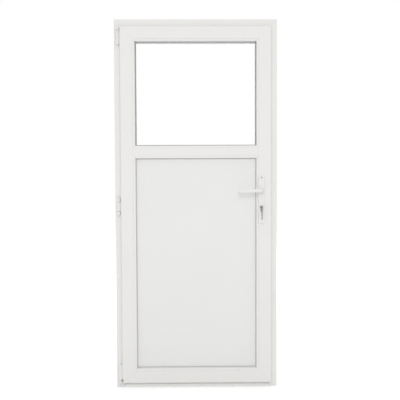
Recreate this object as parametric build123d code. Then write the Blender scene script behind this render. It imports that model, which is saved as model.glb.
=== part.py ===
from build123d import *
import os

# A half-glazed plastic door in its frame, seen from the room: hinges left, handle right.
# X runs along the wall, +Y goes out of the room, Z is up. The origin is under the middle of the threshold.

# Frame
door_width = 900
door_height = 2050
frame_depth = 70
frame_face = 45
stop_width = 24
stop_depth = 15
key_groove_width = 9
key_groove_depth = 2.5
key_groove_inset = 10
threshold_height = 20
threshold_fall = 8
threshold_grip_grooves = 5
edge_round = 3
crisp_round = 1

# Leaf, and how it laps over the frame on the room side
leaf_proud = 20
lip_depth = 15
side_overlap = 13
top_overlap = 5
air_gap = 12
moving_gap = 5
floor_gap = 6

# Leaf bars: width to the sight line, the bead inside it, the glazing leg outside it
bar_width = 84
bead_width = 14
bead_recess = 1.5
leg_depth = 15
mid_rail_height = 72
mid_rail_z = 1320.5
lip_round = 6
bead_slope = 1.5
bead_round = 2
bead_gap = 0.2
groove_width = 16
groove_depth = 3

# Glass and panel
seal_thickness = 4
seal_show = 3
seal_tuck = 6
pane_thickness = 4
infill_thickness = 24
pane_edge_gap = 4
spacer_width = 10
spacer_inset = 2

# Seals between leaf and frame, and the parts under and outside the bottom rail
closing_seal_gap = 0.5
stop_seal_width = 4
stop_seal_inset = 0.5
lip_seal_width = 5
lip_seal_inset = 1.5
brush_width = 8
brush_inset = 6
drip_height = 52
drip_reach = 30
drip_nose = 16
drip_lift = 2
drip_side_gap = 8

# Handle and lock
handle_from_rebate = 14
lever_z = 1105
lock_centres = 92
plate_width = 34
street_plate_width = 28
plate_length = 264
plate_thickness = 10
plate_drop = 52.5
plate_corner = 9
plate_round = 4
plate_screw_inset = 8
plate_screw_radius = 3.6
plate_screw_depth = 3
boss_radius = 14
boss_height = 4
neck_radius = 10
lever_reach = 45
lever_length = 143
grip_half_height = 10
grip_half_depth = 7
elbow_radius = 16
grip_end = 9
neck_collar = 3
neck_inset = 2
spindle_width = 8
spindle_hold = 14
turning_gap = 0.4
fixed_gap = 0.6
cylinder_radius = 8.5
cylinder_tail_width = 10
cylinder_height = 33
cylinder_proud = 3
plug_radius = 6.5
plug_gap = 0.3
plug_depth = 36
keyway_width = 2.6
keyway_height = 8.6
keyway_depth = 8
faceplate_below = 855
faceplate_above = 695
faceplate_thickness = 2.5
faceplate_gap = 0.2
latch_above = 45
latch_half_height = 15
latch_reach = 7
bolt_below = 60
bolt_half_height = 17
bolt_reach = 3.5
bolt_width = 10
bolt_gap = 0.5
roller_below = 635
roller_above = 535
roller_radius = 4.5
roller_reach = 3.5

# Keeps on the lock jamb
keep_thickness = 2.5
keep_width = 18
keep_end = 28
keep_room = 2
pocket_depth = 15
roller_keep_thickness = 4
roller_keep_width = 22
roller_keep_height = 70
roller_track_height = 24
roller_track_depth = 3

# Keys
key_thickness = 2.2
key_length = 50
bow_radius = 10.5
bow_drop = 5
key_neck = 17
key_hole_radius = 4
ring_radius = 7
ring_wire_radius = 0.9
ring_twist = 8
ring_hang_gap = 1.2
spare_hang_gap = 0.5

# Hinges
knuckle_radius = 8
knuckle_cap = 2
pin_radius = 4
pin_gap = 0.3
pin_length = 60
split_gap = 1.5
hinge_offset = 12
hinge_plate = 2.5
hinge_plate_gap = 0.5
hinge_plate_margin = 5
strap_depth = 4
bottom_strap_depth = 8
hinge_from_end = 6
top_hinge_height = 89
bottom_hinge_height = 101
bearing_height = 17
middle_knuckle_height = 50
middle_end_height = 21

# Screw holes through the jambs
fixing_radius = 5
fixing_from_end = 200
fixing_y = 5

# Planes and edges that follow from these
room_y = -frame_depth / 2
street_y = frame_depth / 2
stop_y = street_y - stop_depth
leaf_room_y = room_y - leaf_proud
leaf_street_y = stop_y - moving_gap
lip_back_y = leaf_room_y + lip_depth
half_width = door_width / 2
leaf_x = half_width - frame_face + side_overlap
leaf_top = door_height - frame_face + top_overlap
leaf_bottom = threshold_height + floor_gap
lip_width = side_overlap + air_gap
rebate = bar_width - bead_width
leg_y = leaf_street_y - leg_depth
infill_street_y = leg_y - seal_thickness
infill_room_y = infill_street_y - infill_thickness
bead_back_y = infill_room_y - seal_thickness
bead_front_y = leaf_room_y + bead_recess
groove_y = (leaf_room_y + leaf_street_y) / 2
body_edge_x = leaf_x - lip_width
handle_x = leaf_x - rebate + handle_from_rebate
cylinder_z = lever_z - lock_centres
latch_z = lever_z + latch_above
bolt_z = lever_z - bolt_below
roller_heights = (lever_z - roller_below, lever_z + roller_above)
plate_room_y = leaf_room_y - plate_thickness
plate_street_y = leaf_street_y + plate_thickness
stop_edge = frame_face + stop_width
rebate_x = half_width - frame_face
hinge_x = -leaf_x - hinge_offset
hinge_y = room_y - hinge_plate - hinge_plate_gap - knuckle_radius
fixing_span = door_height - 2 * fixing_from_end
fixing_heights = [fixing_from_end + fixing_span * share / 3 for share in range(4)]

nodes = {}


def section(points):
    """A flat face from corners given as (u, y) or (u, y, radius)."""
    face = make_face(Polyline(*[p[:2] for p in points], close=True))
    for p in points:
        if len(p) == 3:
            face = fillet(face.vertices().sort_by_distance((p[0], p[1], 0))[0], p[2])
    return face


def block(x0, x1, y0, y1, z0, z1):
    """A box between two corners."""
    return Pos((x0 + x1) / 2, (y0 + y1) / 2, (z0 + z1) / 2) * Box(x1 - x0, y1 - y0, z1 - z0)


def prism_xz(points):
    """A tall prism along Y over a polygon of (x, z) corners, for cutting mitres."""
    plane = Plane(origin=(0, -200, 0), x_dir=(1, 0, 0), z_dir=(0, 1, 0))
    face = make_face(Polyline(*[(x, -z) for x, z in points], close=True))
    return extrude(plane * face, amount=400, dir=(0, 1, 0))


def bar(points, side, x0, z0, x1, z1, width, gap=0, square_foot=False):
    """One mitred bar of a rectangle: its section is drawn inward from the outer edge."""
    frames = {
        "left": ((x0, 0, z0), (1, 0, 0), (0, 0, 1), z1 - z0),
        "right": ((x1, 0, z1), (-1, 0, 0), (0, 0, -1), z1 - z0),
        "top": ((x0, 0, z1), (0, 0, -1), (1, 0, 0), x1 - x0),
        "bottom": ((x1, 0, z0), (0, 0, 1), (-1, 0, 0), x1 - x0),
    }
    origin, inward, along, length = frames[side]
    plane = Plane(origin=origin, x_dir=inward, z_dir=along)
    full = extrude(plane * section(points), amount=length, dir=along)
    foot = 0 if square_foot else width
    w = width
    g = gap
    keep = {
        "left": [(x0, z0 + g), (x0, z1 - g), (x0 + w, z1 - w - g), (x0 + w, z0 + foot + g)],
        "right": [(x1, z0 + g), (x1, z1 - g), (x1 - w, z1 - w - g), (x1 - w, z0 + foot + g)],
        "top": [(x0 + g, z1), (x1 - g, z1), (x1 - w - g, z1 - w), (x0 + w + g, z1 - w)],
        "bottom": [(x0 + g, z0), (x1 - g, z0), (x1 - w - g, z0 + w), (x0 + w + g, z0 + w)],
    }
    return full & prism_xz(keep[side])


def bar_along_x(points, half_length):
    """A square-cut bar along X, centred, from a section of (z, y) corners."""
    plane = Plane(origin=(half_length, 0, 0), x_dir=(0, 0, 1), z_dir=(-1, 0, 0))
    return extrude(plane * section(points), amount=2 * half_length, dir=(-1, 0, 0))


def ring(x, z0, z1, width, y0, y1):
    """A rectangular ring round the middle of the door, going inward from its outer edge."""
    outer = block(-x, x, y0, y1, z0, z1)
    inner = block(-x + width, x - width, y0 - 1, y1 + 1, z0 + width, z1 - width)
    return outer - inner


def arch(x, z0, z1, width, y0, y1):
    """Such a ring with no bottom bar."""
    outer = block(-x, x, y0, y1, z0, z1)
    inner = block(-x + width, x - width, y0 - 1, y1 + 1, z0 - 1, z1 - width)
    return outer - inner


def round_bar_y(x, z, radius, y0, y1):
    """A round bar along Y."""
    return Pos(x, (y0 + y1) / 2, z) * Rot(90, 0, 0) * Cylinder(radius, y1 - y0)


def round_bar_z(x, y, radius, z0, z1):
    """A round bar along Z."""
    return Pos(x, y, (z0 + z1) / 2) * Cylinder(radius, z1 - z0)


# Outer frame: welded bars with a stop on the outside and two grooves against the wall,
# and a low threshold between the jambs
frame_points = [
    (0, room_y, edge_round),
    (frame_face, room_y, edge_round),
    (frame_face, stop_y),
    (stop_edge, stop_y, crisp_round),
    (stop_edge, street_y, edge_round),
    (0, street_y, edge_round),
]
for side in (1, -1):
    outer = side * (street_y - key_groove_inset)
    inner = outer - side * key_groove_width
    groove = [(0, outer), (key_groove_depth, outer), (key_groove_depth, inner), (0, inner)]
    frame_points += groove if side > 0 else groove[::-1]
frame_box = (-half_width, 0, half_width, door_height, stop_edge)
hinge_jamb = bar(frame_points, "left", *frame_box, square_foot=True)
lock_jamb = bar(frame_points, "right", *frame_box, square_foot=True)
nodes["frame_head"] = bar(frame_points, "top", *frame_box)
for height in fixing_heights:
    hole = Pos(0, fixing_y, height) * Rot(0, 90, 0) * Cylinder(fixing_radius, 2 * door_width)
    hinge_jamb -= hole
    lock_jamb -= hole
nodes["hinge_jamb"] = hinge_jamb

threshold_points = [
    (0, room_y),
    (threshold_height - threshold_fall, room_y, crisp_round),
    (threshold_height, room_y + threshold_fall, crisp_round),
    (threshold_height, stop_y - moving_gap, crisp_round),
    (threshold_height - threshold_fall, street_y, crisp_round),
    (0, street_y),
]
threshold = bar_along_x(threshold_points, rebate_x)
for side in (-1, 1):
    stop_end = sorted((side * (rebate_x - stop_width), side * 2 * rebate_x))
    threshold -= block(*stop_end, stop_y, 2 * street_y, -threshold_height, 2 * threshold_height)
groove_pitch = (stop_y - moving_gap - room_y - threshold_fall) / (2 * threshold_grip_grooves)
for step in range(threshold_grip_grooves):
    groove_start = room_y + threshold_fall + (2 * step + 0.75) * groove_pitch
    threshold -= block(
        -door_width, door_width, groove_start, groove_start + groove_pitch / 2,
        threshold_height - crisp_round, 2 * threshold_height,
    )
nodes["threshold"] = threshold
nodes["frame_seal"] = arch(
    half_width - stop_edge + stop_seal_inset + stop_seal_width, threshold_height,
    door_height - stop_edge + stop_seal_inset + stop_seal_width, stop_seal_width,
    leaf_street_y + closing_seal_gap, stop_y,
)

# Keeps on the lock jamb, with a pocket behind each opening of the middle one
bolts = ((latch_z, latch_half_height), (bolt_z, bolt_half_height))
main_keep = block(
    rebate_x - keep_thickness, rebate_x, groove_y - keep_width / 2, groove_y + keep_width / 2,
    bolt_z - bolt_half_height - keep_end, latch_z + latch_half_height + keep_end,
)
pocket_half_width = bolt_width / 2 + keep_room
for height, half_height in bolts:
    pocket = block(
        rebate_x - 2 * keep_thickness, rebate_x + pocket_depth,
        groove_y - pocket_half_width, groove_y + pocket_half_width,
        height - half_height - keep_room, height + half_height + keep_room,
    )
    main_keep -= pocket
    lock_jamb -= pocket
nodes["main_keep"] = main_keep
nodes["lock_jamb"] = lock_jamb
roller_keeps = []
for height in roller_heights:
    keep = block(
        rebate_x - roller_keep_thickness, rebate_x,
        groove_y - roller_keep_width / 2, groove_y + roller_keep_width / 2,
        height - roller_keep_height / 2, height + roller_keep_height / 2,
    )
    keep -= block(
        rebate_x - 2 * roller_keep_thickness, rebate_x - roller_keep_thickness + roller_track_depth,
        groove_y - roller_keep_width, groove_y + roller_radius + keep_room,
        height - roller_track_height / 2, height + roller_track_height / 2,
    )
    roller_keeps.append(keep)
nodes["roller_keeps"] = Compound(children=roller_keeps)

# Leaf: four welded bars and a middle rail
leaf_points = [
    (0, leaf_room_y, lip_round),
    (rebate, leaf_room_y, crisp_round),
    (rebate, leg_y),
    (bar_width, leg_y, crisp_round),
    (bar_width, leaf_street_y, edge_round),
    (lip_width, leaf_street_y, crisp_round),
    (lip_width, groove_y + groove_width / 2),
    (lip_width + groove_depth, groove_y + groove_width / 2),
    (lip_width + groove_depth, groove_y - groove_width / 2),
    (lip_width, groove_y - groove_width / 2),
    (lip_width, lip_back_y),
    (0, lip_back_y, crisp_round),
]
leaf_box = (-leaf_x, leaf_bottom, leaf_x, leaf_top, bar_width)
nodes["hinge_stile"] = bar(leaf_points, "left", *leaf_box)
lock_stile = bar(leaf_points, "right", *leaf_box)
nodes["top_rail"] = bar(leaf_points, "top", *leaf_box)
nodes["bottom_rail"] = bar(leaf_points, "bottom", *leaf_box)
rebate_half = leaf_x - rebate
sight_half = leaf_x - bar_width
mid_low = mid_rail_z - mid_rail_height / 2
mid_high = mid_rail_z + mid_rail_height / 2
mid_points = [
    (mid_low + bead_width, leaf_room_y, crisp_round),
    (mid_high - bead_width, leaf_room_y, crisp_round),
    (mid_high - bead_width, leg_y),
    (mid_low + bead_width, leg_y),
]
mid_leg_points = [
    (mid_low, leg_y, crisp_round),
    (mid_high, leg_y, crisp_round),
    (mid_high, leaf_street_y, edge_round),
    (mid_low, leaf_street_y, edge_round),
]
nodes["mid_rail"] = bar_along_x(mid_points, rebate_half) + bar_along_x(mid_leg_points, sight_half)

# Under the leaf: a filler behind the lip, and a brush that sweeps the threshold
nodes["rail_filler"] = block(
    -body_edge_x, body_edge_x, lip_back_y, leaf_street_y, leaf_bottom, leaf_bottom + lip_width
)
brush_half = body_edge_x - brush_inset
nodes["threshold_brush"] = block(
    -brush_half, brush_half, groove_y - brush_width / 2, groove_y + brush_width / 2,
    threshold_height + closing_seal_gap, leaf_bottom,
)
nodes["leaf_seal"] = arch(
    leaf_x - lip_seal_inset, leaf_bottom, leaf_top - lip_seal_inset, lip_seal_width,
    lip_back_y, room_y - closing_seal_gap,
)

# Drip bar outside, clear of the stops, with a throat under its nose
drip_low = leaf_bottom + drip_lift
drip_points = [
    (drip_low, leaf_street_y),
    (drip_low, leaf_street_y + drip_reach * 0.6),
    (drip_low + edge_round, leaf_street_y + drip_reach * 0.6),
    (drip_low + edge_round, leaf_street_y + drip_reach * 0.75),
    (drip_low, leaf_street_y + drip_reach * 0.75),
    (drip_low, leaf_street_y + drip_reach, crisp_round),
    (drip_low + drip_nose, leaf_street_y + drip_reach, edge_round),
    (drip_low + drip_height, leaf_street_y + edge_round, crisp_round),
    (drip_low + drip_height, leaf_street_y),
]
nodes["drip_bar"] = bar_along_x(drip_points, half_width - stop_edge - drip_side_gap)

# Glass unit above, flat panel below, each in seals and held by snap-in beads on the room side
bead_points = [
    (0, bead_back_y),
    (0, bead_front_y, crisp_round),
    (bead_width - bead_slope, bead_front_y, bead_round),
    (bead_width, bead_back_y),
]
sides = ("left", "right", "top", "bottom")
fields = {
    "glass": (mid_high - bead_width, leaf_top - rebate),
    "panel": (leaf_bottom + rebate, mid_low + bead_width),
}
seal_outset = bead_width - seal_tuck
seal_width = seal_tuck + seal_show
for name, (low, high) in fields.items():
    field_box = (-rebate_half, low, rebate_half, high, bead_width)
    beads = [bar(bead_points, side, *field_box, gap=bead_gap) for side in sides]
    nodes[name + "_beads"] = Compound(children=beads)
    seal_ring = (rebate_half - seal_outset, low + seal_outset, high - seal_outset, seal_width)
    nodes[name + "_room_seal"] = ring(*seal_ring, bead_back_y, infill_room_y)
    nodes[name + "_street_seal"] = ring(*seal_ring, infill_street_y, leg_y)
pane_half = rebate_half - pane_edge_gap
glass_low, glass_high = (fields["glass"][0] + pane_edge_gap, fields["glass"][1] - pane_edge_gap)
panel_low, panel_high = (fields["panel"][0] + pane_edge_gap, fields["panel"][1] - pane_edge_gap)
room_pane_y = infill_room_y + pane_thickness
street_pane_y = infill_street_y - pane_thickness
nodes["room_pane"] = block(-pane_half, pane_half, infill_room_y, room_pane_y, glass_low, glass_high)
nodes["street_pane"] = block(-pane_half, pane_half, street_pane_y, infill_street_y, glass_low, glass_high)
nodes["pane_spacer"] = ring(
    pane_half - spacer_inset, glass_low + spacer_inset, glass_high - spacer_inset, spacer_width,
    room_pane_y, street_pane_y,
)
nodes["infill_panel"] = block(-pane_half, pane_half, infill_room_y, infill_street_y, panel_low, panel_high)


# Lock cylinder: a round barrel with a narrower tail below it
def cylinder_bar(margin, y0, y1):
    """The lock cylinder's outline, grown by a margin and drawn out along Y."""
    tail_radius = cylinder_tail_width / 2 + margin
    tail_drop = cylinder_height - cylinder_radius - cylinder_tail_width / 2
    outline = Circle(cylinder_radius + margin)
    outline += Pos(0, -tail_drop / 2) * Rectangle(2 * tail_radius, tail_drop)
    outline += Pos(0, -tail_drop) * Circle(tail_radius)
    plane = Plane(origin=(handle_x, y1, cylinder_z), x_dir=(1, 0, 0), z_dir=(0, -1, 0))
    return extrude(plane * outline, amount=y1 - y0, dir=(0, -1, 0))


def keyway(y0, y1):
    """The slot for a key's blade."""
    return block(
        handle_x - keyway_width / 2, handle_x + keyway_width / 2, y0, y1,
        cylinder_z - keyway_height / 2, cylinder_z + keyway_height / 2,
    )


cylinder_room_y = plate_room_y - cylinder_proud
cylinder_street_y = plate_street_y + cylinder_proud
lock_cylinder = cylinder_bar(0, cylinder_room_y, cylinder_street_y)
lock_cylinder -= round_bar_y(
    handle_x, cylinder_z, plug_radius + plug_gap,
    cylinder_room_y - cylinder_proud, cylinder_room_y + plug_depth + plug_gap,
)
lock_cylinder -= keyway(cylinder_street_y - keyway_depth, cylinder_street_y + cylinder_proud)
nodes["lock_cylinder"] = lock_cylinder
through_leaf = (plate_room_y, plate_street_y)
lock_stile -= round_bar_y(handle_x, lever_z, neck_radius + fixed_gap, *through_leaf)
lock_stile -= cylinder_bar(fixed_gap, *through_leaf)
nodes["lock_stile"] = lock_stile

# Faceplate, latch, bolt and rollers in the edge of the lock stile
face_x = body_edge_x - groove_depth
face_half_width = groove_width / 2 - faceplate_gap
faceplate = block(
    face_x, face_x + faceplate_thickness, groove_y - face_half_width, groove_y + face_half_width,
    lever_z - faceplate_below, lever_z + faceplate_above,
)
slot_half_width = bolt_width / 2 + bolt_gap
for height, half_height in bolts:
    faceplate -= block(
        face_x - groove_depth, face_x + 2 * faceplate_thickness,
        groove_y - slot_half_width, groove_y + slot_half_width,
        height - half_height - bolt_gap, height + half_height + bolt_gap,
    )
nodes["lock_faceplate"] = faceplate
latch_points = [
    (face_x, groove_y - bolt_width / 2),
    (face_x + faceplate_thickness, groove_y - bolt_width / 2),
    (face_x + latch_reach, groove_y + bolt_width / 4, crisp_round),
    (face_x + latch_reach, groove_y + bolt_width / 2),
    (face_x, groove_y + bolt_width / 2),
]
latch_foot = Pos(0, 0, latch_z - latch_half_height)
nodes["latch"] = extrude(latch_foot * section(latch_points), amount=2 * latch_half_height, dir=(0, 0, 1))
nodes["dead_bolt"] = block(
    face_x, face_x + bolt_reach, groove_y - bolt_width / 2, groove_y + bolt_width / 2,
    bolt_z - bolt_half_height, bolt_z + bolt_half_height,
)
roller_x = face_x + faceplate_thickness + roller_reach / 2
nodes["rollers"] = Compound(
    children=[
        Pos(roller_x, groove_y, height) * Rot(0, 90, 0) * Cylinder(roller_radius, roller_reach)
        for height in roller_heights
    ]
)


# Handle: a long backplate on each face, and two levers on one square spindle
def backplate(width, screw_ends):
    """A backplate as on the room side: boss round the lever's neck, cylinder cut-out, seats for screws."""
    middle_z = lever_z - plate_drop
    plane = Plane(origin=(handle_x, leaf_room_y, middle_z), x_dir=(1, 0, 0), z_dir=(0, -1, 0))
    outline = RectangleRounded(width, plate_length, plate_corner)
    plate = extrude(plane * outline, amount=plate_thickness, dir=(0, -1, 0))
    plate = fillet(plate.faces().sort_by(Axis.Y)[0].edges(), plate_round)
    boss_y = plate_room_y - boss_height
    plate += round_bar_y(handle_x, lever_z, boss_radius, boss_y, plate_room_y + boss_height)
    plate -= round_bar_y(handle_x, lever_z, neck_radius + turning_gap, boss_y - boss_height, groove_y)
    plate -= cylinder_bar(turning_gap, cylinder_room_y, groove_y)
    for end in screw_ends:
        screw_z = middle_z + end * (plate_length / 2 - plate_screw_inset)
        plate -= round_bar_y(
            handle_x, screw_z, plate_screw_radius, cylinder_room_y, plate_room_y + plate_screw_depth
        )
    return plate


def lever():
    """The room-side lever: a round neck that bends into an oval grip with a rounded end."""
    neck_start = leaf_room_y - neck_inset
    neck_end = plate_room_y - boss_height - neck_collar
    grip_y = plate_room_y - lever_reach
    elbow_y = grip_y + elbow_radius
    tip_x = handle_x - lever_length + grip_end
    neck = round_bar_y(handle_x, lever_z, neck_radius, neck_end, neck_start)
    round_plane = Plane(origin=(handle_x, neck_end, lever_z), x_dir=(1, 0, 0), z_dir=(0, -1, 0))
    oval_plane = Plane(origin=(handle_x, elbow_y, lever_z), x_dir=(1, 0, 0), z_dir=(0, -1, 0))
    oval = oval_plane * Ellipse(grip_half_depth, grip_half_height)
    taper = loft([round_plane * Circle(neck_radius), oval])
    path = FilletPolyline(
        (handle_x, elbow_y, lever_z), (handle_x, grip_y, lever_z), (tip_x, grip_y, lever_z),
        radius=elbow_radius - turning_gap,
    )
    grip = sweep(oval, path=path)
    tip = scale(Sphere(1), by=(grip_end, grip_half_depth, grip_half_height))
    socket = block(
        handle_x - spindle_width / 2, handle_x + spindle_width / 2, neck_start - spindle_hold, groove_y,
        lever_z - spindle_width / 2, lever_z + spindle_width / 2,
    )
    return neck + taper + grip + Pos(tip_x, grip_y, lever_z) * tip - socket


mirror_plane = Plane(origin=(0, groove_y, 0), z_dir=(0, 1, 0))
nodes["room_backplate"] = backplate(plate_width, screw_ends=(-1, 1))
nodes["street_backplate"] = mirror(backplate(street_plate_width, screw_ends=()), about=mirror_plane)
nodes["room_lever"] = lever()
nodes["street_lever"] = mirror(nodes["room_lever"], about=mirror_plane)
spindle_end = leaf_room_y - neck_inset - spindle_hold
nodes["spindle"] = block(
    handle_x - spindle_width / 2, handle_x + spindle_width / 2, spindle_end, 2 * groove_y - spindle_end,
    lever_z - spindle_width / 2, lever_z + spindle_width / 2,
)


# Keys: one in the turning plug of the cylinder, one hanging from its ring
def key():
    """A key hanging down from the hole in its bow, flat in the YZ plane."""
    plane = Plane(origin=(-key_thickness / 2, 0, 0), x_dir=(0, 1, 0), z_dir=(1, 0, 0))
    half = keyway_height / 2 - plug_gap
    outline = Pos(0, -bow_drop) * Circle(bow_radius)
    outline += Pos(0, -key_neck) * Rectangle(bow_radius, 2 * key_thickness, align=(Align.CENTER, Align.MIN))
    blade = [(-half, -bow_drop), (-half, 0.4 * half - key_length)]
    blade += [(0, -key_length), (half, half - key_length)]
    for bite, share in ((0.55, 0.35), (1, 0.45), (0.4, 0.58), (1, 0.72), (0.7, 0.82), (1, 0.9)):
        blade.append((bite * half, -key_neck - (1 - share) * (key_length - key_neck)))
    blade.append((half, -bow_drop))
    outline += make_face(Polyline(*blade, close=True))
    outline -= Circle(key_hole_radius)
    return extrude(plane * outline, amount=key_thickness, dir=(1, 0, 0))


plug = round_bar_y(handle_x, cylinder_z, plug_radius, cylinder_room_y, cylinder_room_y + plug_depth)
plug_end = cylinder_room_y + plug_depth - plug_gap
nodes["cylinder_plug"] = plug - keyway(cylinder_room_y - cylinder_proud, plug_end)
hole_y = cylinder_room_y - plug_gap - key_neck
nodes["lock_key"] = Pos(handle_x, hole_y, cylinder_z) * Rot(90, 0, 0) * key()
wire_z = cylinder_z - key_hole_radius + ring_wire_radius + ring_hang_gap
ring_z = wire_z - ring_radius
key_ring = Rot(0, 0, ring_twist) * Rot(90, 0, 0) * Torus(ring_radius, ring_wire_radius)
nodes["key_ring"] = Pos(handle_x, hole_y, ring_z) * key_ring
spare_z = ring_z - ring_radius - key_hole_radius + ring_wire_radius + spare_hang_gap
nodes["spare_key"] = Pos(handle_x, hole_y, spare_z) * Rot(0, 0, ring_twist) * key()


# Hinges: the frame side carries the pin, the leaf side turns on it
def frame_knuckle(z0, z1):
    """A knuckle with a web back to the plate on the jamb."""
    web = block(hinge_x - knuckle_radius, hinge_x + pin_radius, hinge_y, room_y, z0, z1)
    return round_bar_z(hinge_x, hinge_y, knuckle_radius, z0, z1) + web


def leaf_knuckle(z0, z1, depth):
    """A knuckle bored for the pin, with a strap on the back part of the edge of the leaf's lip."""
    strap_y = lip_back_y - crisp_round
    strap = block(hinge_x, -leaf_x, strap_y - depth, strap_y, z0, z1)
    bore = round_bar_z(hinge_x, hinge_y, pin_radius + pin_gap, z0 - split_gap, z1 + split_gap)
    return round_bar_z(hinge_x, hinge_y, knuckle_radius, z0, z1) + strap - bore


def cap(z, way):
    """A stepped cap on the end of a knuckle."""
    ends = sorted((z, z + way * knuckle_cap))
    return round_bar_z(hinge_x, hinge_y, knuckle_radius - crisp_round, *ends)


def frame_plate(z0, z1):
    """The hinge plate on the room face of the jamb."""
    return block(
        -half_width + hinge_plate_margin, hinge_x + hinge_plate_margin, room_y - hinge_plate, room_y, z0, z1
    )


def pin(z0, z1):
    """The pin, set into the knuckle of the frame side."""
    return round_bar_z(hinge_x, hinge_y, pin_radius, z0, z1)


top = leaf_top - hinge_from_end
split = top - bearing_height
foot = top - top_hinge_height
nodes["top_hinge_frame"] = (
    frame_plate(split - pin_length, top) + frame_knuckle(split + split_gap, top)
    + cap(top, 1) + pin(split - pin_length, top)
)
nodes["top_hinge_leaf"] = leaf_knuckle(foot, split, strap_depth) + cap(foot, -1)
foot = leaf_bottom + split_gap
split = foot + bearing_height
top = foot + bottom_hinge_height
nodes["bottom_hinge_frame"] = (
    frame_plate(foot, split + pin_length) + frame_knuckle(foot, split - split_gap)
    + cap(foot, -1) + pin(foot, split + pin_length)
)
nodes["bottom_hinge_leaf"] = leaf_knuckle(split, top, bottom_strap_depth) + cap(top, 1)
middle = (leaf_top + leaf_bottom) / 2
split = middle + middle_knuckle_height / 2
top = split + middle_end_height
low_split = middle - middle_knuckle_height / 2
foot = low_split - middle_end_height
nodes["middle_hinge_frame"] = (
    frame_plate(foot, top) + frame_knuckle(split + split_gap, top) + cap(top, 1)
    + frame_knuckle(foot, low_split - split_gap) + cap(foot, -1) + pin(foot, top)
)
nodes["middle_hinge_leaf"] = leaf_knuckle(low_split, split, strap_depth)

os.makedirs("parts", exist_ok=True)
for name, shape in nodes.items():
    export_step(shape, f"parts/{name}.step")
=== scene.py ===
import bpy
import bmesh
import math
import random
from mathutils import Matrix, Vector


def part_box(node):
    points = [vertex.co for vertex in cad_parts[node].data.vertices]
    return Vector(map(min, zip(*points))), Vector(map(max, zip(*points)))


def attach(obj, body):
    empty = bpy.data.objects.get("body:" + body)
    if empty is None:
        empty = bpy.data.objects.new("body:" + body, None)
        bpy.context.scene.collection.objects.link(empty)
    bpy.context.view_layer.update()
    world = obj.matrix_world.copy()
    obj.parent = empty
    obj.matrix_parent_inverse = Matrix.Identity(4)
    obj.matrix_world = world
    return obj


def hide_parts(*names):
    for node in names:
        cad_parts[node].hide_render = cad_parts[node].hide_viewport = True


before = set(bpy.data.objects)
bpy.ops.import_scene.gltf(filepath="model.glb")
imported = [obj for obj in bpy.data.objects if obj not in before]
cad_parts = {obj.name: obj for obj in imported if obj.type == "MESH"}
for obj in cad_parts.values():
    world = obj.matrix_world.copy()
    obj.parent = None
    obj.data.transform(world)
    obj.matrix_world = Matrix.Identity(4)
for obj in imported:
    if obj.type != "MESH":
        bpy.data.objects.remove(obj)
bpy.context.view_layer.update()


# Outer frame: two jambs and a head, white plastic bars pushed through a die and welded at the mitres.
# The jambs stand on the floor and are screwed to the wall through their rebates.
mm = 0.001


class Wire:
    """One socket of a material's nodes, so that sums on it read as plain Python."""

    def __init__(self, socket):
        self.socket = socket
        self.tree = socket.id_data

    def node(self, kind, settings, sockets, output=0):
        """Another node of the same material: settings first, then values or wires for its sockets."""
        made = self.tree.nodes.new("ShaderNode" + kind)
        for name, value in settings.items():
            setattr(made, name, value)
        for name, value in sockets.items():
            if isinstance(value, Wire):
                self.tree.links.new(value.socket, made.inputs[name])
            else:
                made.inputs[name].default_value = value
        return Wire(made.outputs[output])

    def maths(self, operation, *others):
        """This value through a Math node, with the other values that the operation takes."""
        return self.node("Math", {"operation": operation}, dict(enumerate((self, *others))))

    def __add__(self, other):
        return self.maths("ADD", other)

    def __sub__(self, other):
        return self.maths("SUBTRACT", other)

    def __rsub__(self, other):
        return self.node("Math", {"operation": "SUBTRACT"}, {0: other, 1: self})

    def __mul__(self, other):
        return self.maths("MULTIPLY", other)

    def __truediv__(self, other):
        return self.maths("DIVIDE", other)

    def __abs__(self):
        return self.maths("ABSOLUTE")

    __radd__ = __add__
    __rmul__ = __mul__

    def along(self, way):
        """How far a place lies along a way."""
        return self.node("VectorMath", {"operation": "DOT_PRODUCT"}, {0: self, 1: way}, "Value")

    def parts(self):
        """The three numbers of a place."""
        made = self.node("SeparateXYZ", {}, {0: self}).socket.node
        return [Wire(number) for number in made.outputs]

    def fade(self, full, none):
        """1 where the value is at full, 0 where it is at none, and smooth between them."""
        ends = {"From Min": none, "From Max": full, "To Min": 0, "To Max": 1}
        return self.node("MapRange", {"interpolation_type": "SMOOTHSTEP"}, {"Value": self, **ends})

    def tint(self, none, full):
        """A colour between two, by this value."""
        return self.node("Mix", {"data_type": "RGBA"}, {0: self, 6: none, 7: full}, output=2)

    def speckle(self, scale, stretch=(1, 1, 1), detail=2):
        """Noise about 0.5 over a place, scale to the metre, drawn out where stretch is small."""
        at = self.node("VectorMath", {"operation": "MULTIPLY"}, {0: self, 1: stretch})
        return self.node("TexNoise", {}, {"Vector": at, "Scale": scale, "Detail": detail})

    def relief(self, depth, strength):
        """A surface normal from a height of 0 to 1."""
        return self.node("Bump", {}, {"Strength": strength, "Distance": depth, "Height": self})

    def feed(self, shader, name):
        self.tree.links.new(self.socket, shader.inputs[name])


def new_finish(name):
    """A material with nothing set: gives it, its shader, and the place on the piece at rest."""
    material = bpy.data.materials.new(name)
    material.use_nodes = True
    nodes = material.node_tree.nodes
    place = Wire(nodes.new("ShaderNodeTexCoord").outputs["Object"])
    return material, nodes["Principled BSDF"], place


def colour(red, green, blue, share=1):
    """A colour from its 0 to 255 screen values, dimmed by a share."""
    def linear(level):
        level = level / 255
        return level / 12.92 if level <= 0.04045 else ((level + 0.055) / 1.055) ** 2.4
    return [share * linear(level) for level in (red, green, blue)] + [1]


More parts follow.
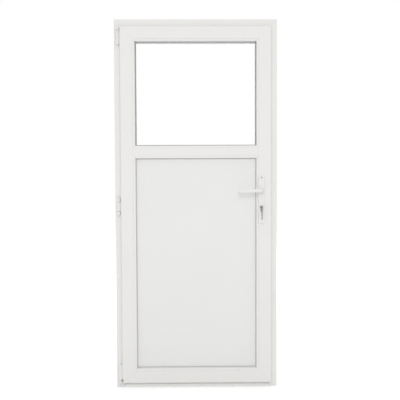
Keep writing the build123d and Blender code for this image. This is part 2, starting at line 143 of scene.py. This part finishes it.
def white_plastic(name, along=None, corner=None):
    """Plastic bar: faint die lines along it, a little cloud in the white, a weld line at its mitres."""
    material, shader, place = new_finish(name)
    fine, drawn_out = 900, 4
    stretch = [fine, fine, fine]
    if along is not None:
        stretch[along] = drawn_out
    lines = place.speckle(1, stretch)
    cloud = place.speckle(3.5)
    height = lines
    white = cloud.tint(colour(232, 231, 229), colour(236, 235, 233))
    if corner:
        edge_x, middle_z, reach_z = corner
        x, z = place.parts()[::2]
        seam = abs(edge_x - abs(x) - reach_z + abs(z - middle_z)).fade(0.4 * mm, 1.6 * mm)
        height = lines * 0.25 - seam
        white = (seam * 0.5).tint(white, colour(214, 213, 210))
    white.feed(shader, "Base Color")
    (0.3 + 0.12 * place.speckle(60)).feed(shader, "Roughness")
    height.relief(0.25 * mm, 0.12).feed(shader, "Normal")
    shader.inputs["IOR"].default_value = 1.46
    return material


def dress(material, *names):
    """Gives CAD nodes their material."""
    for name in names:
        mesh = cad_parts[name].data
        mesh.materials.clear()
        mesh.materials.append(material)


jamb_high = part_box("lock_jamb")[1]
frame_corner = (jamb_high.x, 0, jamb_high.z)
dress(white_plastic("frame_upright_plastic", 2, frame_corner), "hinge_jamb", "lock_jamb")
dress(white_plastic("frame_level_plastic", 0, frame_corner), "frame_head")


# Frame fixings: round white plastic caps pressed over the heads of the wall screws.
# They sit in the rebates of both jambs, four to a side, where the closed leaf hides them.
def make_piece(name, points, faces, material, body, crease=35, stands_for=()):
    """A mesh piece that rides on a body, smooth but for edges sharper than the crease."""
    mesh = bpy.data.meshes.new(name)
    mesh.from_pydata(points, [], faces)
    build = bmesh.new()
    build.from_mesh(mesh)
    bmesh.ops.recalc_face_normals(build, faces=build.faces)
    build.to_mesh(mesh)
    build.free()
    mesh.shade_smooth()
    mesh.set_sharp_from_angle(angle=math.radians(crease))
    mesh.materials.append(material)
    piece = bpy.data.objects.new(name, mesh)
    bpy.context.scene.collection.objects.link(piece)
    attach(piece, body)
    if stands_for:
        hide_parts(*stands_for)


def skin(rings, count):
    """Faces round a pile of rings of so many corners each, with both ends closed."""
    faces = [list(range(count))]
    for ring in range(rings - 1):
        low = ring * count
        high = low + count
        for k in range(count):
            n = (k + 1) % count
            faces.append([low + k, low + n, high + n, high + k])
    faces.append([(rings - 1) * count + k for k in range(count)])
    return faces


def turned(profile, segments):
    """A round solid about Z from rings of radius and height in millimetres."""
    points = []
    for radius, height in profile:
        for k in range(segments):
            turn = 2 * math.pi * k / segments
            points.append((radius * mm * math.cos(turn), radius * mm * math.sin(turn), height * mm))
    return points, skin(len(profile), segments)


def set_copies(name, form, seats, facing, material, body):
    """One piece of many copies of a form, its Z turned to face a way, one at each seat."""
    points, faces = form
    turn = Vector(facing).to_track_quat("Z", "Y").to_matrix().to_4x4()
    all_points = []
    all_faces = []
    for seat in seats:
        move = Matrix.Translation(seat) @ turn
        start = len(all_points)
        all_points += [move @ Vector(point) for point in points]
        all_faces += [[start + corner for corner in face] for face in faces]
    make_piece(name, all_points, all_faces, material, body)


cap_form = turned([(7.2, -0.2), (7.2, 0.7), (6.9, 1.2), (6.2, 1.5), (3.6, 1.8), (1.0, 1.9)], 28)
cap_heights = [0.2, 0.75, 1.3, 1.85]
cap_y = 5 * mm
frame_face = 45 * mm
rebate_x = jamb_high.x - frame_face
plain_plastic = white_plastic("moulded_plastic")
for name, side in (("hinge_side_caps", -1), ("lock_side_caps", 1)):
    seats = [(side * rebate_x, cap_y, height) for height in cap_heights]
    set_copies(name, cap_form, seats, (-side, 0, 0), plain_plastic, "frame")


# Threshold: a low aluminium bar between the jambs, pushed through a die with grip grooves on top.
# It is powder coated white, lies flat on the floor, and its ends are cut round the stops of the jambs.
def white_coat(name, dull=(231, 230, 228), clean=(236, 235, 233), scuffs=0):
    """Powder coat: close orange peel under a soft gloss, and a share of grey scuffs."""
    material, shader, place = new_finish(name)
    peel = place.speckle(420, detail=3)
    white = place.speckle(12).tint(colour(*dull), colour(*clean))
    if scuffs:
        worn = place.speckle(9, (1, 6, 6), 5).fade(0.72, 0.5) * scuffs
        white = worn.tint(white, colour(176, 175, 172))
    white.feed(shader, "Base Color")
    (0.26 + 0.16 * peel).feed(shader, "Roughness")
    peel.relief(0.12 * mm, 0.1).feed(shader, "Normal")
    shader.inputs["Coat Weight"].default_value = 0.12
    shader.inputs["Coat Roughness"].default_value = 0.15
    return material


# The threshold's white is paler than the other whites; the extra pallor is painted light that lifts the
# shade under the leaf's lip.
dress(white_coat("white_threshold_coat_painted_light", (241, 240, 238), (246, 245, 243), 0.12), "threshold")


# Stop gasket: a hollow bulb of grey rubber pressed into the stops of the frame, with mitred top corners.
# The closing leaf squeezes it, so it runs up both sides and across the head.
def rubber(name, shade):
    """Matt rubber with a bloom of dust and a fine pebble."""
    material, shader, place = new_finish(name)
    bloom = place.speckle(35, detail=4)
    bloom.tint(shade, [level * 1.35 for level in shade[:3]] + [1]).feed(shader, "Base Color")
    (0.62 + 0.2 * (bloom - 0.5)).feed(shader, "Roughness")
    place.speckle(1800).relief(0.05 * mm, 0.2).feed(shader, "Normal")
    return material


def gasket(name, node, width, section, closed, material, body):
    """A strip round the door in place of a CAD seal; its section is in shares, inward and outward."""
    low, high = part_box(node)
    points = []
    for across, through in section:
        inset = across * width
        y = low.y + through * (high.y - low.y)
        left, right, top = low.x + inset, high.x - inset, high.z - inset
        foot = low.z + inset if closed else low.z
        points += [(left, y, foot), (left, y, top), (right, y, top), (right, y, foot)]
    faces = []
    count = len(section)
    for k in range(count):
        n = (k + 1) % count
        for run in range(4 if closed else 3):
            end = (run + 1) % 4
            faces.append((4 * k + run, 4 * k + end, 4 * n + end, 4 * n + run))
    if not closed:
        faces += [[4 * k for k in range(count)], [4 * k + 3 for k in range(count)]]
    make_piece(name, points, faces, material, body, stands_for=(node,))


seal_grey = rubber("grey_rubber", colour(168, 168, 167))
bulb_foot = [(0.85, 1), (0.15, 1)]
bulb_crown = [(0, 0.7), (0.06, 0.38), (0.25, 0.1), (0.5, 0), (0.75, 0.08), (0.94, 0.34), (1, 0.68)]
bulb = bulb_foot + bulb_crown
stop_bulb_width = 4 * mm
gasket("stop_gasket", "frame_seal", stop_bulb_width, bulb, False, seal_grey, "frame")


# Keeps: steel plates let into the lock jamb, which take the latch, the bolt and the rollers.
# They are pressed from sheet, zinc plated, and held by countersunk screws.
def metal(name, low, high, rough, along=None, grain=500):
    """Bare or plated metal with a brushed grain along one way."""
    material, shader, place = new_finish(name)
    stretch = [grain, grain, grain]
    if along is not None:
        stretch[along] = grain / 120
    brush = place.speckle(1, stretch, 3)
    brush.tint(low, high).feed(shader, "Base Color")
    (rough + 0.25 * (brush - 0.5) + 0.1 * (place.speckle(25) - 0.5)).feed(shader, "Roughness")
    brush.relief(0.1 * mm, 0.12).feed(shader, "Normal")
    shader.inputs["Metallic"].default_value = 1
    return material


def loop(build, outline, height):
    """A closed line of corners at one height."""
    return [build.verts.new((x, y, height)) for x, y in outline]


def edges_of(build, corners):
    """The edges of a loop."""
    return [build.edges.new(pair) for pair in zip(corners, corners[1:] + corners[:1])]


def wall(build, low, high):
    """Faces between two loops of the same count."""
    for k in range(len(low)):
        build.faces.new((low[k - 1], low[k], high[k], high[k - 1]))


def round_outline(radius, count):
    turns = [2 * math.pi * k / count for k in range(count)]
    return [(radius * math.cos(turn), radius * math.sin(turn)) for turn in turns]


def cross_outline(radius):
    """A driver's cross: arms to 0.6 of the head's radius, about a fifth of it wide."""
    arm = 0.6 * radius
    half = 0.11 * radius
    quarter = [(arm, -half), (arm, half), (half, half)]
    corners = []
    for turn in range(4):
        c, s = (1, 0, -1, 0)[turn], (0, 1, 0, -1)[turn]
        corners += [(x * c - y * s, x * s + y * c) for x, y in quarter]
    return corners


def screw_form(radius, recess):
    """A screw head with a rounded brow and a recess for its driver, seen from +Z."""
    sides = 24
    rise = 0.12 * radius
    build = bmesh.new()
    foot = loop(build, round_outline(radius, sides), -0.05 * radius)
    rim = loop(build, round_outline(radius, sides), 0.4 * rise)
    brow = loop(build, round_outline(0.88 * radius, sides), rise)
    mouth = loop(build, recess, rise)
    floor = loop(build, [(0.8 * x, 0.8 * y) for x, y in recess], -0.04 * radius)
    face_edges = edges_of(build, brow) + edges_of(build, mouth)
    build.faces.new(foot)
    wall(build, foot, rim)
    wall(build, rim, brow)
    wall(build, floor, mouth)
    build.faces.new(floor)
    bmesh.ops.triangle_fill(build, edges=face_edges, use_beauty=True)
    build.verts.index_update()
    points = [tuple(corner.co) for corner in build.verts]
    faces = [[corner.index for corner in face.verts] for face in build.faces]
    build.free()
    return points, faces


def cross_screw(radius):
    """A screw head for a cross driver."""
    return screw_form(radius, cross_outline(radius))


plate_steel = metal("zinc_plated_steel", colour(176, 177, 178), colour(206, 207, 208), 0.34, 2)
screw_steel = metal("screw_steel", colour(150, 150, 149), colour(186, 186, 184), 0.3, None, 900)
dress(plate_steel, "main_keep", "roller_keeps")
keep_low, keep_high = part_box("main_keep")
track_low, track_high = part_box("roller_keeps")
keep_y = (keep_low.y + keep_high.y) / 2
keep_form = cross_screw(radius=3 * mm)
keep_inset = 10 * mm
lever_z = 1.105
keep_heights = [keep_low.z + keep_inset, lever_z + 6 * mm, keep_high.z - keep_inset]
keep_seats = [(keep_low.x, keep_y, height) for height in keep_heights]
track_length = 70 * mm
track_inset = 9 * mm
for foot in (track_low.z, track_high.z - track_length):
    for height in (foot + track_inset, foot + track_length - track_inset):
        keep_seats.append((track_low.x, keep_y, height))
set_copies("keep_screws", keep_form, keep_seats, (-1, 0, 0), screw_steel, "frame")


# Frame side of the hinges: plate, knuckle and pin of steel, powder coated white, screwed to the jamb.
# A socket screw in the end of a knuckle sets the height of the leaf, which turns on nylon washers; their
# dark grey is partly painted shade for the gap between the knuckles.
hinge_coat = white_coat("white_hinge_coat")
dress(hinge_coat, "top_hinge_frame", "middle_hinge_frame", "bottom_hinge_frame")
dark_steel = metal("dark_steel", colour(66, 66, 66), colour(94, 94, 93), 0.4, None, 900)
hinge_x, hinge_y = -430 * mm, -46 * mm


def socket_screw(radius):
    """A screw head for a six-sided key."""
    return screw_form(radius, round_outline(0.55 * radius, 6))


def on_hinge(node, end, out=0):
    """The hinge axis at the foot (0) or head (1) of a hinge part, or a little out from there."""
    return hinge_x, hinge_y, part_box(node)[end].z + (out if end else -out)


socket_form = socket_screw(radius=3.4 * mm)
heads = [on_hinge("top_hinge_frame", 1), on_hinge("middle_hinge_frame", 1)]
feet = [on_hinge("middle_hinge_frame", 0)]
set_copies("hinge_top_sockets", socket_form, heads, (0, 0, 1), dark_steel, "frame")
set_copies("hinge_foot_sockets", socket_form, feet, (0, 0, -1), dark_steel, "frame")
washer_form = turned([(7.2, -0.6), (7.6, -0.4), (7.6, 0.4), (7.2, 0.6)], 32)
half_split = 0.75 * mm
bearings = [("top_hinge_leaf", 1), ("middle_hinge_leaf", 1)]
bearings += [("middle_hinge_leaf", 0), ("bottom_hinge_leaf", 0)]
washer_seats = [on_hinge(node, end, half_split) for node, end in bearings]
# Dark grey washers: real nylon, and their darkness is also painted shade for the split between the
# knuckles.
washer_nylon_gap_shade = rubber("dark_nylon_gap_shade", colour(60, 60, 60))
set_copies("hinge_washers", washer_form, washer_seats, (0, 0, 1), washer_nylon_gap_shade, "frame")


# Leaf: four white plastic bars welded at the mitres, and a middle rail screwed between the stiles.
# Its lip laps over the frame on the room side.
stile_low, stile_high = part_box("lock_stile")
leaf_reach = (stile_high.z - stile_low.z) / 2
leaf_corner = (stile_high.x, stile_low.z + leaf_reach, leaf_reach)
dress(white_plastic("leaf_upright_plastic", 2, leaf_corner), "hinge_stile", "lock_stile")
dress(white_plastic("leaf_level_plastic", 0, leaf_corner), "top_rail", "bottom_rail")
level_plastic = white_plastic("plain_level_plastic", 0)
dress(level_plastic, "mid_rail", "rail_filler", "drip_bar")


# Threshold brush: a strip of stiff dark hair in a white carrier, pushed into the foot of the leaf.
# It sweeps just above the threshold.
def bristle_hair(name):
    """Dull dark hair, a little uneven from tuft to tuft."""
    material, shader, place = new_finish(name)
    tuft = place.speckle(240, (1, 1, 0.1))
    tuft.tint(colour(58, 57, 56), colour(110, 108, 105)).feed(shader, "Base Color")
    (0.6 + 0.2 * tuft).feed(shader, "Roughness")
    return material


brush_low, brush_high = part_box("threshold_brush")
draw = random.Random(7)
brush_y = (brush_low.y + brush_high.y) / 2
hair_rows = 4
row_pitch = 1.4 * mm
hair_pitch = 2.4 * mm
hair_count = int((brush_high.x - brush_low.x) / hair_pitch)
root_z = brush_low.z + 3.9 * mm
root_radius = 0.42 * mm
tip_radius = 0.3 * mm
points = []
faces = []
for row in range(hair_rows):
    for k in range(hair_count):
        x = brush_low.x + (k + 0.25 + 0.5 * (row % 2)) * hair_pitch
        y = brush_y + (row - (hair_rows - 1) / 2) * row_pitch
        lean_x, lean_y = draw.uniform(-0.6, 0.6) * mm, draw.uniform(-0.5, 0.5) * mm
        tip_z = brush_low.z + draw.uniform(0, 0.4) * mm
        start = len(points)
        ends = ((x, y, root_z, root_radius), (x + lean_x, y + lean_y, tip_z, tip_radius))
        for end_x, end_y, end_z, radius in ends:
            for turn in (0, 2.1, 4.2):
                points.append((end_x + radius * math.cos(turn), end_y + radius * math.sin(turn), end_z))
        faces += [[start + corner for corner in face] for face in skin(2, 3)]
bristle = bristle_hair("dark_bristle")
make_piece("brush_hair", points, faces, bristle, "leaf", stands_for=("threshold_brush",))
carrier = [(-3.6, 5.5), (-3.6, 4.2), (-3.0, 3.7), (3.0, 3.7), (3.6, 4.2), (3.6, 5.5)]
points = []
for x in (brush_low.x, brush_high.x):
    points += [(x, brush_y + y * mm, brush_low.z + z * mm) for y, z in carrier]
make_piece("brush_carrier", points, skin(2, len(carrier)), plain_plastic, "leaf")


# Lip gasket: a grey rubber bulb in the back of the leaf's lip, on three sides.
# It closes on the room face of the frame.
lip_bulb = [(across, 1 - through) for across, through in bulb]
lip_bulb_width = 5 * mm
gasket("lip_gasket", "leaf_seal", lip_bulb_width, lip_bulb, False, seal_grey, "leaf")


# Beads: white plastic strips mitred and snapped in on the room side, to hold the glass and the panel.
# Each pocket has four.
dress(plain_plastic, "glass_beads", "panel_beads")


# Glazing gaskets: grey rubber lips on both faces of the glass and of the panel.
# The darker ones on the room side are rolled in with the beads and show as a thin line round each field.
room_lip = [(0, 0), (0.7, 0), (0.9, 0.12), (1, 0.42), (0.98, 0.8), (0.93, 1), (0, 1)]
street_lip = [(across, 1 - through) for across, through in room_lip]
# The room gasket round the glass is a darker copy of the panel's grey: painted shade for the deeper line
# round the glass.
glass_gasket_painted_shade = rubber("glass_rubber_painted_shade", colour(144, 144, 143))
pale_grey = rubber("pale_rubber", colour(210, 210, 209))
lip_width = 9 * mm
for field, room_grey in (("glass", glass_gasket_painted_shade), ("panel", seal_grey)):
    for side, lip, grey in (("_room_", room_lip, room_grey), ("_street_", street_lip, pale_grey)):
        gasket(field + side + "gasket", field + side + "seal", lip_width, lip, True, grey, "leaf")


# Glass unit: two clear float panes, sealed round a hollow aluminium spacer with a row of breather holes.
# It stands in the upper pocket of the leaf on plastic blocks.
glass, shader, place = new_finish("float_glass")
shader.inputs["Base Color"].default_value = (0.998, 1, 0.999, 1)
shader.inputs["Transmission Weight"].default_value = 1
shader.inputs["IOR"].default_value = 1.5
(0.02 * place.speckle(6, detail=4)).feed(shader, "Roughness")
place.speckle(2.2).relief(0.4 * mm, 0.05).feed(shader, "Normal")
dress(glass, "room_pane", "street_pane")

spacer, shader, place = new_finish("spacer_aluminium")
x, y, z = place.parts()
spacer_low, spacer_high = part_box("pane_spacer")
hole_pitch = 6 * mm
hole_radius = 0.5 * mm
across = abs(y - (spacer_low.y + spacer_high.y) / 2)


def off_hole(run):
    """How far a place lies from the nearest breather hole of the bar along X or Z."""
    beside = abs((run / hole_pitch).maths("FRACT") - 0.5) * hole_pitch
    return (beside * beside + across * across).maths("SQRT")


# The breather holes are not cut: dark spots on the spacer's colour are painted shade for them.
holes = off_hole(x).maths("MINIMUM", off_hole(z)).fade(hole_radius, 1.5 * hole_radius)
holes.tint(colour(206, 207, 207), colour(70, 70, 70)).feed(shader, "Base Color")
(0.35 + 0.1 * place.speckle(200)).feed(shader, "Roughness")
shader.inputs["Metallic"].default_value = 1
dress(spacer, "pane_spacer")


# Infill panel: foam between two white plastic skins, as thick as the glass unit.
# It stands in the lower pocket of the leaf.
panel, shader, place = new_finish("panel_skin")
peel = place.speckle(160, detail=3)
place.speckle(2.5).tint(colour(231, 231, 230), colour(235, 235, 234)).feed(shader, "Base Color")
(0.3 + 0.12 * peel).feed(shader, "Roughness")
(0.4 * peel + place.speckle(4)).relief(0.3 * mm, 0.06).feed(shader, "Normal")
dress(panel, "infill_panel")


# Lock edge: a long steel faceplate in the groove of the lock stile, with latch, bolt and two rollers.
# Countersunk screws hold it to the stiffener inside the bar.
dress(plate_steel, "lock_faceplate")
bolt_steel = metal("bolt_steel", colour(168, 168, 168), colour(204, 204, 203), 0.25, 1)
dress(bolt_steel, "latch", "dead_bolt", "rollers")
face_low, face_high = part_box("lock_faceplate")
face_y = (face_low.y + face_high.y) / 2
face_form = cross_screw(radius=3.3 * mm)
face_heights = [0.275, 0.43, 0.64, 0.82, 0.985, 1.205, 1.4, 1.59, 1.775]
face_seats = [(face_high.x, face_y, height) for height in face_heights]
set_copies("faceplate_screws", face_form, face_seats, (1, 0, 0), screw_steel, "leaf")


# Lock cylinder: a nickel plated brass barrel through the leaf, with a turning plug on each side.
# The room side's plug is a piece of its own and holds the key.
nickel, shader, place = new_finish("dull_nickel")
handle_x = 362 * mm
cylinder_low, cylinder_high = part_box("lock_cylinder")
cylinder_radius = 8.5 * mm
plug_radius = 6.5 * mm
x, z = place.parts()[::2]
aside = x - handle_x
above = z - (cylinder_high.z - cylinder_radius)
reach = (aside * aside + above * above).maths("SQRT")
# A dark ring where the plug meets the barrel: painted shade for the gap between them.
plug_gap_shade = abs(reach - plug_radius).fade(0.12 * mm, 0.3 * mm)
wear = place.speckle(90, detail=4)
plate_shade = wear.tint(colour(150, 148, 144), colour(184, 182, 177))
plug_gap_shade.tint(plate_shade, colour(62, 62, 60)).feed(shader, "Base Color")
(0.25 + 0.2 * wear).feed(shader, "Roughness")
shader.inputs["Metallic"].default_value = 1
dress(nickel, "lock_cylinder", "cylinder_plug")


# Handle: a long die-cast plate on each face, and two levers on one square steel spindle.
# Two screws in the room side's plate pull both together through the leaf; the lower head is painted.
handle_coat = white_coat("white_handle_coat")
dress(handle_coat, "room_backplate", "street_backplate", "room_lever", "street_lever")
dress(plate_steel, "spindle")
plate_low, plate_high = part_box("room_backplate")
boss_height = 4 * mm
room_face = plate_low.y + boss_height
street_face = 25 * mm
seat_y = room_face + 3 * mm
plate_inset = 8 * mm
plate_form = cross_screw(radius=3.3 * mm)
top_seat = [(handle_x, seat_y, plate_high.z - plate_inset)]
foot_seat = [(handle_x, seat_y, plate_low.z + plate_inset)]
set_copies("plate_top_screw", plate_form, top_seat, (0, -1, 0), dark_steel, "leaf")
set_copies("plate_foot_screw", plate_form, foot_seat, (0, -1, 0), handle_coat, "leaf")
grub_form = socket_screw(radius=2 * mm)
grub_out = 10 * mm
grub_z = lever_z - 9.7 * mm
grub_seats = [(handle_x, room_face - grub_out, grub_z), (handle_x, street_face + grub_out, grub_z)]
set_copies("lever_grub_screws", grub_form, grub_seats, (0, 0, -1), dark_steel, "handle")


# Keys: flat stampings of nickel plated brass, cut along one edge and milled along the blade.
# One is in the lock, and the other hangs from it on a split ring of spring wire.
def key_metal(name, across, to_bow, blade_end, bow_end):
    """Dull plated metal, pale on the bow and nearly black on the blade; milled lines run along the
    blade.
    """
    material, shader, place = new_finish(name)
    bow = place.along(to_bow).fade(bow_end, blade_end)
    line_pitch = 4.488 * mm
    lines = (place.along(across) * (2 * math.pi / line_pitch)).maths("SINE")
    wear = place.speckle(160, detail=4)
    blade_shade = wear.tint(colour(40, 39, 37), colour(66, 65, 62))
    bow_shade = wear.tint(colour(152, 150, 146), colour(184, 182, 177))
    bow.tint(blade_shade, bow_shade).feed(shader, "Base Color")
    (0.3 + 0.2 * wear).feed(shader, "Roughness")
    lines.relief(0.2 * mm, 0.25).feed(shader, "Normal")
    shader.inputs["Metallic"].default_value = 1
    return material


blend = 4 * mm
key_face = cylinder_low.y
lock_key_metal = key_metal("lock_key_metal", (0, 0, 1), (0, 1, 0), key_face, key_face - blend)
dress(lock_key_metal, "lock_key")
bow_length = 22 * mm
bow_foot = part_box("spare_key")[1].z - bow_length
spare_across = (-0.139, 0.99, 0)
spare_metal = key_metal("spare_key_metal", spare_across, (0, 0, 1), bow_foot - blend, bow_foot + blend)
dress(spare_metal, "spare_key")
ring_low, ring_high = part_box("key_ring")
ring_middle = (ring_low + ring_high) / 2
ring_twist = math.radians(8)
ring_axis = Vector((math.sin(ring_twist), -math.cos(ring_twist), 0))
ring_turn = Matrix.Translation(ring_middle) @ ring_axis.to_track_quat("Z", "Y").to_matrix().to_4x4()
ring_radius = 7 * mm
wire_deep, wire_thick = 0.8 * mm, 0.4 * mm
wire_pitch = 0.9 * mm
steps, sides, turns = 96, 8, 1.9
points = []
for step in range(steps + 1):
    share = step / steps
    turn = 2 * math.pi * turns * share
    rise = (share - 0.5) * wire_pitch
    for k in range(sides):
        lap = 2 * math.pi * k / sides
        radius = ring_radius + wire_deep * math.cos(lap)
        height = rise + wire_thick * math.sin(lap)
        points.append(ring_turn @ Vector((radius * math.cos(turn), radius * math.sin(turn), height)))
faces = skin(steps + 1, sides)
soft_crease = 60
make_piece("split_ring", points, faces, screw_steel, "spare", soft_crease, ("key_ring",))


# Leaf side of the hinges: a bored knuckle and a strap of white coated steel.
# The strap is screwed to the edge of the leaf's lip, and a tapered cap closes the knuckle's end.
# Two small screws beside the bottom hinge set the leaf sideways.
dress(hinge_coat, "top_hinge_leaf", "middle_hinge_leaf", "bottom_hinge_leaf")
tip_form = turned([(7.0, -0.2), (7.0, 0.6), (6.2, 2.6), (4.6, 4.6), (2.6, 5.8), (0.8, 6.2)], 32)
top_foot = [on_hinge("top_hinge_leaf", 0)]
bottom_head = [on_hinge("bottom_hinge_leaf", 1)]
set_copies("top_hinge_tip", tip_form, top_foot, (0, 0, -1), hinge_coat, "leaf")
set_copies("bottom_hinge_tip", tip_form, bottom_head, (0, 0, 1), hinge_coat, "leaf")
adjuster_form = socket_screw(radius=2.9 * mm)
adjuster_x = -stile_high.x + 3.2 * mm
adjuster_seats = [(adjuster_x, stile_low.y, height) for height in (40 * mm, 48 * mm)]
set_copies("hinge_adjusters", adjuster_form, adjuster_seats, (0, -1, 0), dark_steel, "leaf")


# Studio: a pale floor and a white surround, a soft lamp above the viewer and another behind the door.
# The floor keeps the door's shadow and fades into the surround.
def seen(wire):
    """1 for rays from the camera, from gloss and through glass."""
    names = ("Is Camera Ray", "Is Glossy Ray", "Is Transmission Ray")
    camera_ray, glossy_ray, glass_ray = [wire.node("LightPath", {}, {}, name) for name in names]
    return (camera_ray + glossy_ray + glass_ray).maths("MINIMUM", 1)


floor_white, shader, place = new_finish("pale_floor")
place.speckle(1.5).tint(colour(240, 240, 240), colour(243, 243, 243)).feed(shader, "Base Color")
shader.inputs["Roughness"].default_value = 0.9
shader.inputs["Specular IOR Level"].default_value = 0
x, y = place.parts()[:2]
near_square, far_square = 0.6, 6
near_glow, far_gain = 0.3, 0.18
glow = near_glow + far_gain * (x * x + y * y).fade(far_square, near_square)
(seen(place) * glow).tint((0, 0, 0, 1), (1, 1, 1, 1)).feed(shader, "Emission Color")
shader.inputs["Emission Strength"].default_value = 1
floor_half = 9
floor_z = -0.5 * mm
floor_outline = ((-1, -1), (1, -1), (1, 1), (-1, 1))
floor_corners = [(side * floor_half, end * floor_half, floor_z) for side, end in floor_outline]
floor_mesh = bpy.data.meshes.new("floor")
floor_mesh.from_pydata(floor_corners, [], [(0, 1, 2, 3)])
floor_mesh.materials.append(floor_white)
floor = bpy.data.objects.new("floor", floor_mesh)
bpy.context.scene.collection.objects.link(floor)

world = bpy.data.worlds.new("surround")
bpy.context.scene.world = world
world.use_nodes = True
background = world.node_tree.nodes["Background"]
way = Wire(world.node_tree.nodes.new("ShaderNodeTexCoord").outputs["Generated"])
side, rise = way.parts()[::2]
low_light, sky_gain, side_loss = 0.462, 0.27, 0.45
level = (low_light + sky_gain * (1 + rise)) * (1 - side_loss * side * side)
around = level.tint((0, 0, 0, 1), (1, 1, 1, 1))
seen(way).tint(around, (1, 1, 1, 1)).feed(background, "Color")


def lamp(name, spot, aim, width, height, watts):
    """A soft lamp that faces a point; the white surround stands in for its gloss."""
    light = bpy.data.lights.new(name, "AREA")
    light.shape = "RECTANGLE"
    light.size = width
    light.size_y = height
    light.energy = watts
    holder = bpy.data.objects.new(name, light)
    holder.location = spot
    holder.rotation_euler = (Vector(aim) - Vector(spot)).to_track_quat("-Z", "Y").to_euler()
    holder.visible_glossy = False
    holder.visible_transmission = False
    bpy.context.scene.collection.objects.link(holder)


lamp("front_lamp", (0, -3.6, 2.1), (0, 0, 1.2), 0.6, 1.5, 32)
lamp("rear_lamp", (0, 6, 3.2), (0, 0, 1), 2, 2, 80)


# Camera: stands in the room, 3.5 m from the door and just above the lever, and looks a little down.
# The small turns set the door in a square picture as the photo has it.
yaw, pitch, roll = (math.radians(angle) for angle in (0.667, -2.349, -0.233))
forward = Vector((math.sin(yaw) * math.cos(pitch), math.cos(yaw) * math.cos(pitch), math.sin(pitch)))
level_right = Vector((math.cos(yaw), -math.sin(yaw), 0))
level_up = level_right.cross(forward)
right = level_right * math.cos(roll) + level_up * math.sin(roll)
up = level_up * math.cos(roll) - level_right * math.sin(roll)
camera_data = bpy.data.cameras.new("camera")
camera_data.sensor_width = 36
camera_data.lens = 55.98
camera = bpy.data.objects.new("camera", camera_data)
stand = Matrix.Translation((-0.0191, -3.5, 1.1951))
camera.matrix_world = stand @ Matrix((right, up, -forward)).transposed().to_4x4()
bpy.context.scene.collection.objects.link(camera)
bpy.context.scene.camera = camera
bpy.context.scene.view_settings.view_transform = "Standard"
